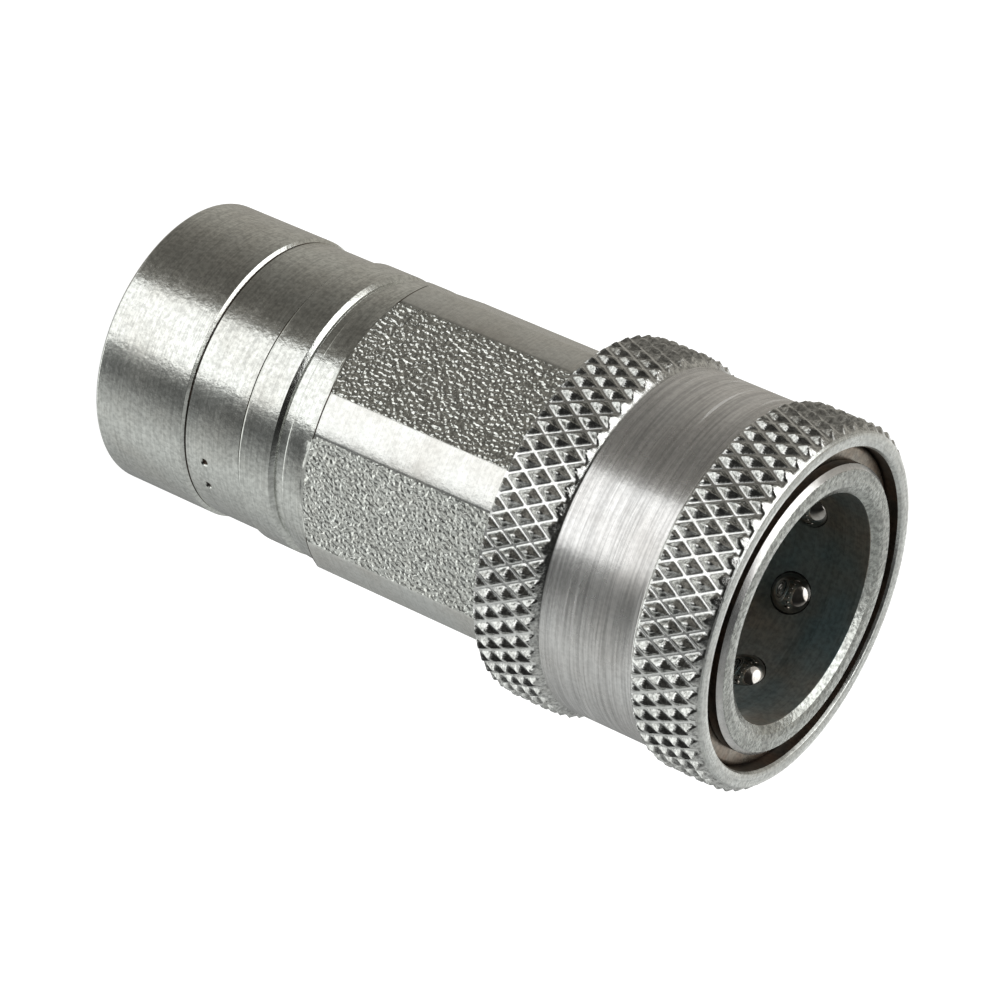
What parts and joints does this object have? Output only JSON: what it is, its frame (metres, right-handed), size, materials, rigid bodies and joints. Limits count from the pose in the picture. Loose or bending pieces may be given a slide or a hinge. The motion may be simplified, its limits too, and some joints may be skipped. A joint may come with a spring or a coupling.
{
  "type": "quick disconnect coupler",
  "caption": "Ball-lock quick disconnect coupler, female half, with knurled pull-back sleeve, hex body, shut-off poppet and taper-threaded port.",
  "frame": {"origin": "centre of the port face at the rear end, the lowest face when the coupler stands on its port", "axes": "+Z along the coupler's axis from the port to the socket mouth; +X through a turned corner of the hexagon and through ball_1"},
  "size_m": [0.0382, 0.038, 0.0765],
  "materials": {
    "zinc_steel": "bright zinc plate, satin",
    "sleeve_steel": "bright zinc plate, turned",
    "valve_steel": "machined, oiled",
    "ball_steel": "polished, hardened",
    "ring_steel": "oiled spring steel",
    "spring_steel": "drawn wire",
    "brass": "machined",
    "nitrile": "matte",
    "ptfe": "matte"
  },
  "bodies": {
    "body": {"port_adapter": "zinc_steel", "adapter_o_ring": "nitrile", "body": "zinc_steel", "valve_guide": "brass", "socket_o_ring": "nitrile", "backup_ring": "ptfe", "spring_washer": "valve_steel", "sleeve_spring": "spring_steel", "poppet_spring": "spring_steel", "stop_ring": "ring_steel"},
    "sleeve": {"sleeve": "sleeve_steel"},
    "poppet": {"poppet": "valve_steel", "poppet_seal": "nitrile", "seal_retainer": "valve_steel"},
    "ball_1": {"ball_1": "ball_steel"},
    "ball_2": {"ball_2": "ball_steel"},
    "ball_3": {"ball_3": "ball_steel"},
    "ball_4": {"ball_4": "ball_steel"},
    "ball_5": {"ball_5": "ball_steel"},
    "ball_6": {"ball_6": "ball_steel"},
    "ball_7": {"ball_7": "ball_steel"},
    "ball_8": {"ball_8": "ball_steel"}
  },
  "joints": [
    {"name": "sleeve_slide", "type": "slide", "parent": "body", "child": "sleeve", "axis": [0, 0, 1], "range_m": [-0.0065, 0], "stiffness_N_per_m": 7000, "springref_m": 0.006, "deforming": ["sleeve_spring"]},
    {"name": "poppet_slide", "type": "slide", "parent": "body", "child": "poppet", "axis": [0, 0, 1], "range_m": [-0.007, 0], "stiffness_N_per_m": 3000, "springref_m": 0.008, "deforming": ["poppet_spring"]},
    {"name": "ball_1_slide", "type": "slide", "parent": "body", "child": "ball_1", "axis": [1, 0, 0], "range_m": [0, 0.0011]},
    {"name": "ball_2_slide", "type": "slide", "parent": "body", "child": "ball_2", "axis": [0.7071, 0.7071, 0], "range_m": [0, 0.0011]},
    {"name": "ball_3_slide", "type": "slide", "parent": "body", "child": "ball_3", "axis": [0, 1, 0], "range_m": [0, 0.0011]},
    {"name": "ball_4_slide", "type": "slide", "parent": "body", "child": "ball_4", "axis": [-0.7071, 0.7071, 0], "range_m": [0, 0.0011]},
    {"name": "ball_5_slide", "type": "slide", "parent": "body", "child": "ball_5", "axis": [-1, 0, 0], "range_m": [0, 0.0011]},
    {"name": "ball_6_slide", "type": "slide", "parent": "body", "child": "ball_6", "axis": [-0.7071, -0.7071, 0], "range_m": [0, 0.0011]},
    {"name": "ball_7_slide", "type": "slide", "parent": "body", "child": "ball_7", "axis": [0, -1, 0], "range_m": [0, 0.0011]},
    {"name": "ball_8_slide", "type": "slide", "parent": "body", "child": "ball_8", "axis": [0.7071, -0.7071, 0], "range_m": [0, 0.0011]}
  ],
  "couplings": [
    {"joint": "ball_1_slide", "follows": "sleeve_slide", "ratio": -0.166},
    {"joint": "ball_2_slide", "follows": "sleeve_slide", "ratio": -0.166},
    {"joint": "ball_3_slide", "follows": "sleeve_slide", "ratio": -0.166},
    {"joint": "ball_4_slide", "follows": "sleeve_slide", "ratio": -0.166},
    {"joint": "ball_5_slide", "follows": "sleeve_slide", "ratio": -0.166},
    {"joint": "ball_6_slide", "follows": "sleeve_slide", "ratio": -0.166},
    {"joint": "ball_7_slide", "follows": "sleeve_slide", "ratio": -0.166},
    {"joint": "ball_8_slide", "follows": "sleeve_slide", "ratio": -0.166}
  ]
}
